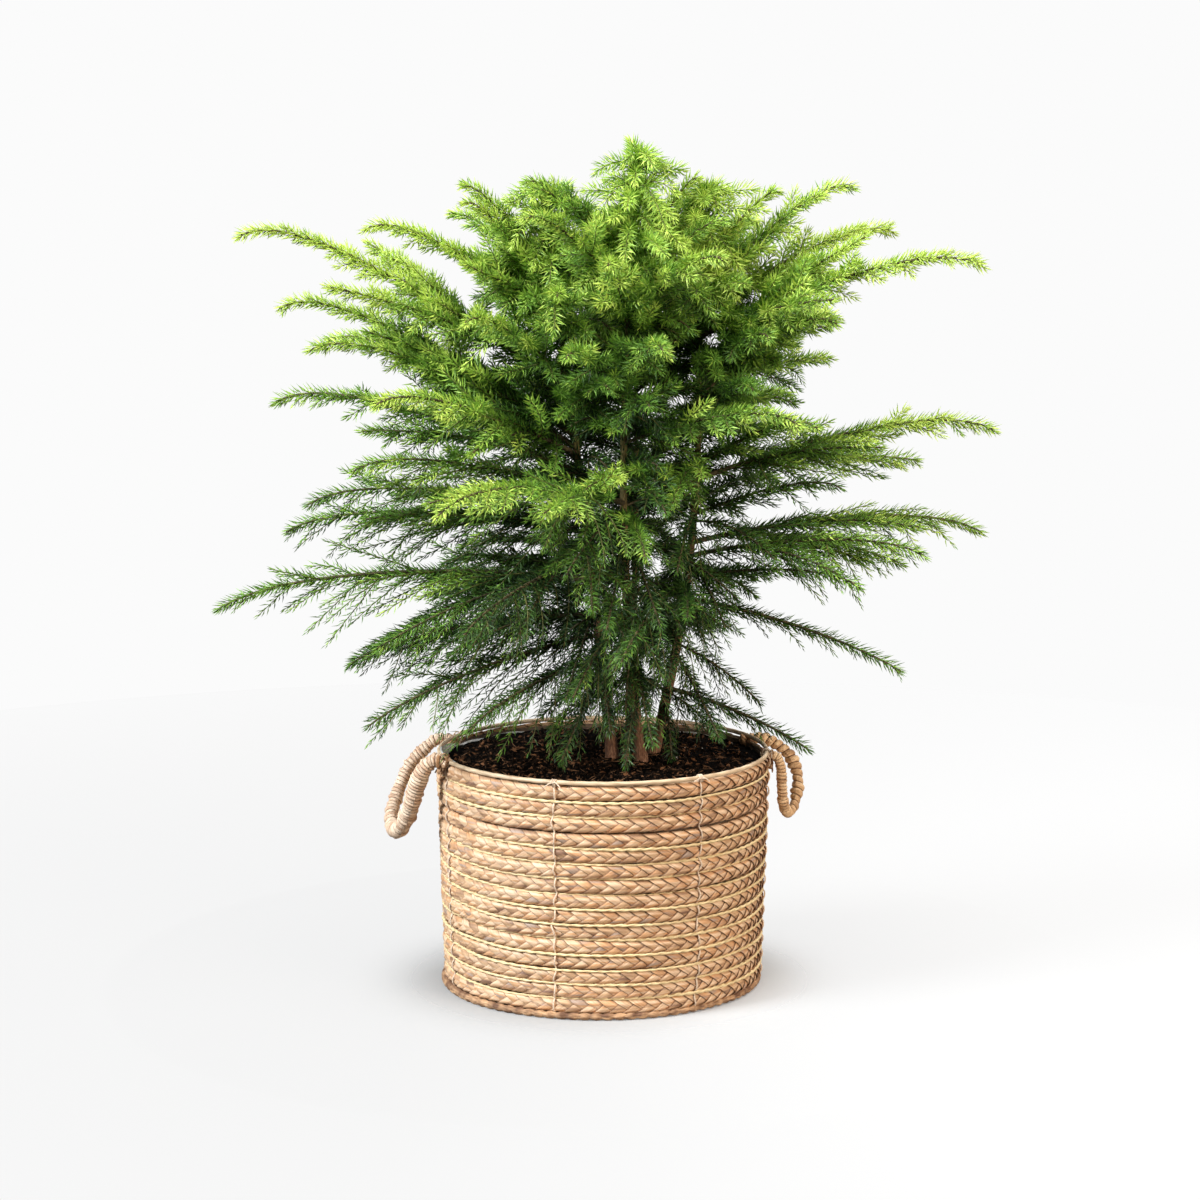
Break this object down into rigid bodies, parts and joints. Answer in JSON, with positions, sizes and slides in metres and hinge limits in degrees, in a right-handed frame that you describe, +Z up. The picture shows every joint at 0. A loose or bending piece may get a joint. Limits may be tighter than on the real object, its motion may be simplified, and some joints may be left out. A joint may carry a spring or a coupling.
{
  "type": "potted norfolk island pine",
  "caption": "Norfolk Island pine with several slim trunks and tiers of soft needled fronds, in a round braided basket pot with rope handles, liner and soil.",
  "frame": {"origin": "centre of the basket's flat underside", "axes": "+Z up, -Y the front, +X towards the right-hand rope handle"},
  "size_m": [0.709, 0.5453, 0.7692],
  "materials": {
    "braid": "flat plaited dry leaf in tan and beige, matte",
    "rope": "wrapped rush rope, matte",
    "rim": "pale cane ring",
    "liner": "thin silvery grey plastic",
    "soil": "dark moist potting soil with bark chips",
    "bark": "reddish brown flaky bark, green higher up",
    "needles": "soft needles, bright yellow-green at the tips and blue-green inside"
  },
  "bodies": {
    "root": {"basket": "braid", "rim_wire": "rim", "liner": "liner", "soil": "soil", "handle_left": "rope", "handle_right": "rope", "trunk_left": "bark", "trunk_middle": "bark", "trunk_right": "bark", "trunk_back": "bark", "bough_left_2": "bark", "bough_left_4": "bark", "bough_left_6": "bark", "bough_left_8": "bark", "bough_left_9": "bark", "bough_middle_1": "bark", "bough_right_3": "bark", "bough_right_6": "bark", "bough_right_8": "bark", "foliage_left_top": "needles", "foliage_middle_top": "needles", "foliage_right_top": "needles", "foliage_back_top": "needles", "foliage_left_1": "needles", "foliage_left_2": "needles", "foliage_left_3": "needles", "foliage_left_4": "needles", "foliage_left_5": "needles", "foliage_left_6": "needles", "foliage_left_7": "needles", "foliage_left_8": "needles", "foliage_left_9": "needles", "foliage_left_10": "needles", "foliage_left_11": "needles", "foliage_left_12": "needles", "foliage_left_13": "needles", "foliage_left_14": "needles", "foliage_left_15": "needles", "foliage_middle_1": "needles", "foliage_middle_2": "needles", "foliage_middle_3": "needles", "foliage_middle_4": "needles", "foliage_middle_5": "needles", "foliage_right_1": "needles", "foliage_right_2": "needles", "foliage_right_3": "needles", "foliage_right_4": "needles", "foliage_right_5": "needles", "foliage_right_6": "needles", "foliage_right_7": "needles", "foliage_right_8": "needles", "foliage_right_9": "needles", "foliage_right_10": "needles", "foliage_right_11": "needles", "foliage_right_12": "needles", "foliage_back_1": "needles", "foliage_back_2": "needles", "foliage_back_3": "needles", "foliage_back_4": "needles", "foliage_back_5": "needles"}
  },
  "joints": []
}
